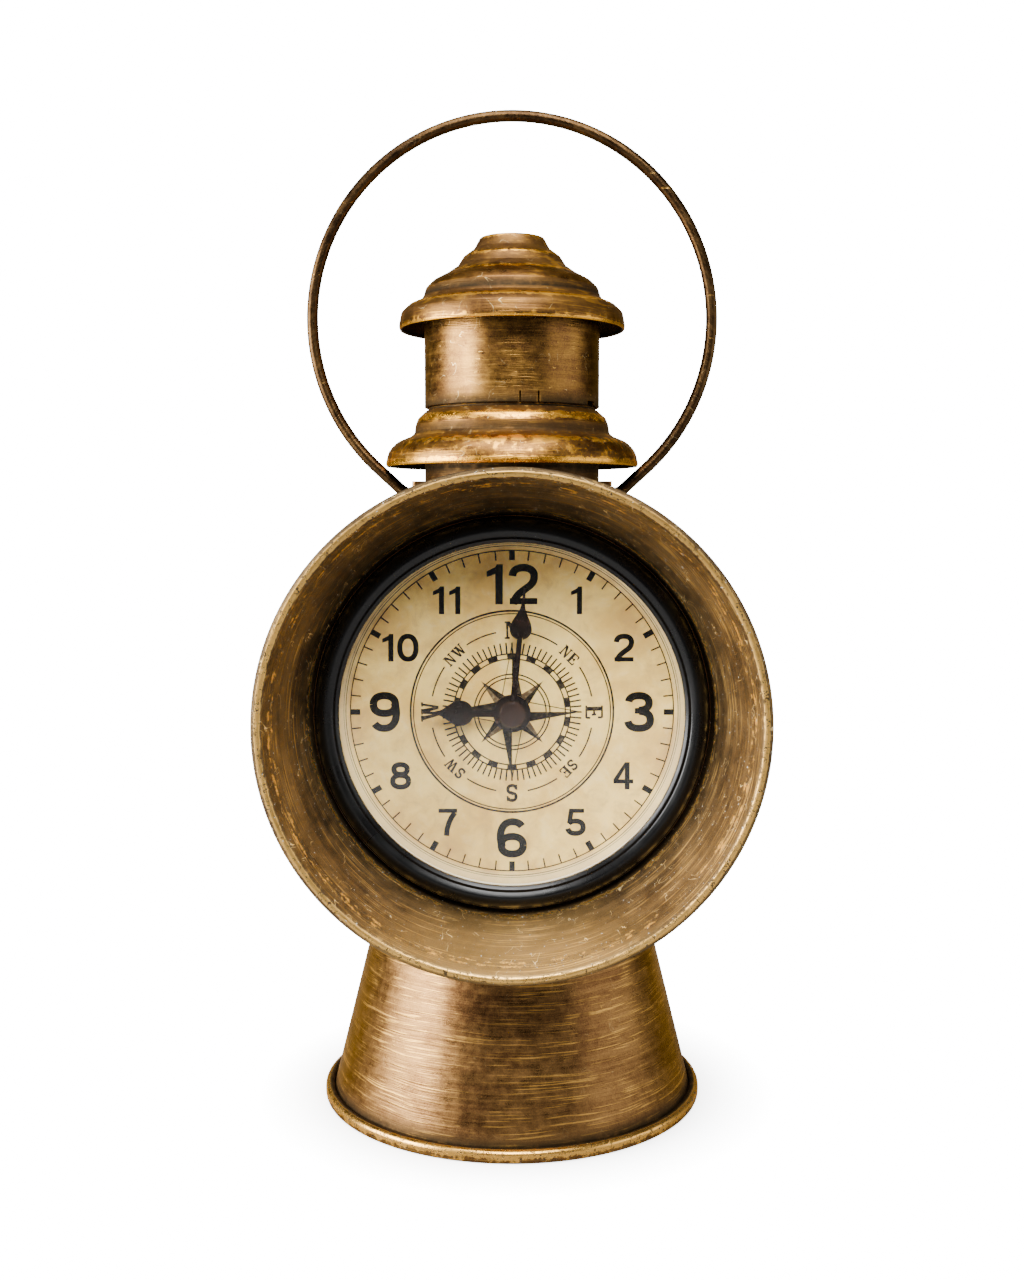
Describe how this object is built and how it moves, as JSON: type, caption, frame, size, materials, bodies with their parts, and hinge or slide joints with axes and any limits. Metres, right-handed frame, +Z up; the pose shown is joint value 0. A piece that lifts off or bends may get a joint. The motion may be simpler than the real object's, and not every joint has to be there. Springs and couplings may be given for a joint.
{
  "type": "table clock",
  "caption": "Table clock shaped like a signal lantern: conical base, chimney with cap, swing bail, deep front funnel round a black-ringed compass dial.",
  "frame": {"origin": "centre of the base pan's underside, on the column's axis, where it stands on the table", "axes": "+Z up along the column; the dial faces -Y; +X to the right of someone who looks at the dial"},
  "size_m": [0.1436, 0.1365, 0.315],
  "materials": {
    "bronze": "aged bronze, brushed",
    "worn_bronze": "aged bronze with worn golden edges",
    "rivet_metal": "aged bronze",
    "black_gloss": "gloss black",
    "black_matte": "fine matte black",
    "lens_glass": "clear, domed",
    "white_plastic": "off-white",
    "printed_dial": "printed parchment face, matte",
    "rubber": "soft black",
    "steel": "bright",
    "copper_wire": "enamelled copper wire",
    "board": "green laminate",
    "cell": "plain dark jacket",
    "brass": "bright brass",
    "hand_paint": "dark bronze paint, satin"
  },
  "bodies": {
    "case": {"base_pan": "worn_bronze", "base_cone": "bronze", "body_column": "bronze", "lower_hood": "worn_bronze", "chimney_sleeve": "bronze", "chimney_cap": "worn_bronze", "clock_drum": "bronze", "front_funnel": "worn_bronze", "bail_ear_right": "bronze", "bail_ear_left": "bronze", "ear_rivet_right_front": "rivet_metal", "ear_rivet_right_back": "rivet_metal", "ear_rivet_left_back": "rivet_metal", "ear_rivet_left_front": "rivet_metal"},
    "bail": {"bail_handle": "bronze"},
    "insert": {"bezel_ring": "black_gloss", "lens": "lens_glass", "dial_spacer": "white_plastic", "dial": "printed_dial", "insert_case": "black_matte", "grip_gasket": "rubber", "movement_front_case": "black_matte", "movement_back_cover": "black_matte", "middle_plate": "white_plastic", "rubber_washer": "rubber", "brass_washer": "brass", "mounting_nut": "brass", "coil": "copper_wire", "coil_core": "steel", "stator": "steel", "circuit_board": "board", "crystal": "steel", "battery": "cell", "battery_contact_plus": "steel", "battery_contact_minus": "steel"},
    "minute": {"minute_arbor": "brass", "minute_hand": "hand_paint", "cap_nut": "hand_paint"},
    "hour": {"hour_wheel": "white_plastic", "hour_hand": "hand_paint"},
    "setting": {"setting_wheel": "white_plastic", "setting_knob": "black_matte"},
    "rotor_group": {"rotor": "steel"},
    "fifth": {"fifth_wheel": "white_plastic"},
    "seconds": {"seconds_wheel": "white_plastic"},
    "third": {"third_wheel": "white_plastic"},
    "centre": {"centre_wheel": "white_plastic"}
  },
  "joints": [
    {"name": "bail_swing", "type": "hinge", "parent": "case", "child": "bail", "pos_m": [0, 0, 0.195], "axis": [1, 0, 0], "range_deg": [-160, 104]},
    {"name": "insert_pull", "type": "slide", "parent": "case", "child": "insert", "axis": [0, -1, 0], "range_m": [0, 0.028]},
    {"name": "minute_turn", "type": "hinge", "parent": "insert", "child": "minute", "pos_m": [0, -0.03, 0.1293], "axis": [0, 1, 0], "continuous": true},
    {"name": "hour_turn", "type": "hinge", "parent": "insert", "child": "hour", "pos_m": [0, -0.03, 0.1293], "axis": [0, 1, 0], "continuous": true},
    {"name": "setting_turn", "type": "hinge", "parent": "insert", "child": "setting", "pos_m": [0.01, -0.03, 0.1293], "axis": [0, 1, 0], "continuous": true},
    {"name": "rotor_spin", "type": "hinge", "parent": "insert", "child": "rotor_group", "pos_m": [0.0063, -0.03, 0.14021], "axis": [0, 1, 0], "continuous": true},
    {"name": "fifth_spin", "type": "hinge", "parent": "insert", "child": "fifth", "pos_m": [0.00315, -0.03, 0.13476], "axis": [0, 1, 0], "continuous": true},
    {"name": "seconds_spin", "type": "hinge", "parent": "insert", "child": "seconds", "pos_m": [0, -0.03, 0.1293], "axis": [0, 1, 0], "continuous": true},
    {"name": "third_spin", "type": "hinge", "parent": "insert", "child": "third", "pos_m": [-0.00636, -0.03, 0.13566], "axis": [0, 1, 0], "continuous": true},
    {"name": "centre_spin", "type": "hinge", "parent": "insert", "child": "centre", "pos_m": [0, -0.03, 0.1293], "axis": [0, 1, 0], "continuous": true}
  ],
  "couplings": [
    {"joint": "hour_turn", "follows": "minute_turn", "ratio": 0.083333},
    {"joint": "setting_turn", "follows": "minute_turn", "ratio": -0.33333},
    {"joint": "fifth_spin", "follows": "rotor_spin", "ratio": -0.16667},
    {"joint": "seconds_spin", "follows": "rotor_spin", "ratio": 0.033333},
    {"joint": "third_spin", "follows": "rotor_spin", "ratio": -0.0044444},
    {"joint": "centre_spin", "follows": "rotor_spin", "ratio": 0.00055556}
  ]
}
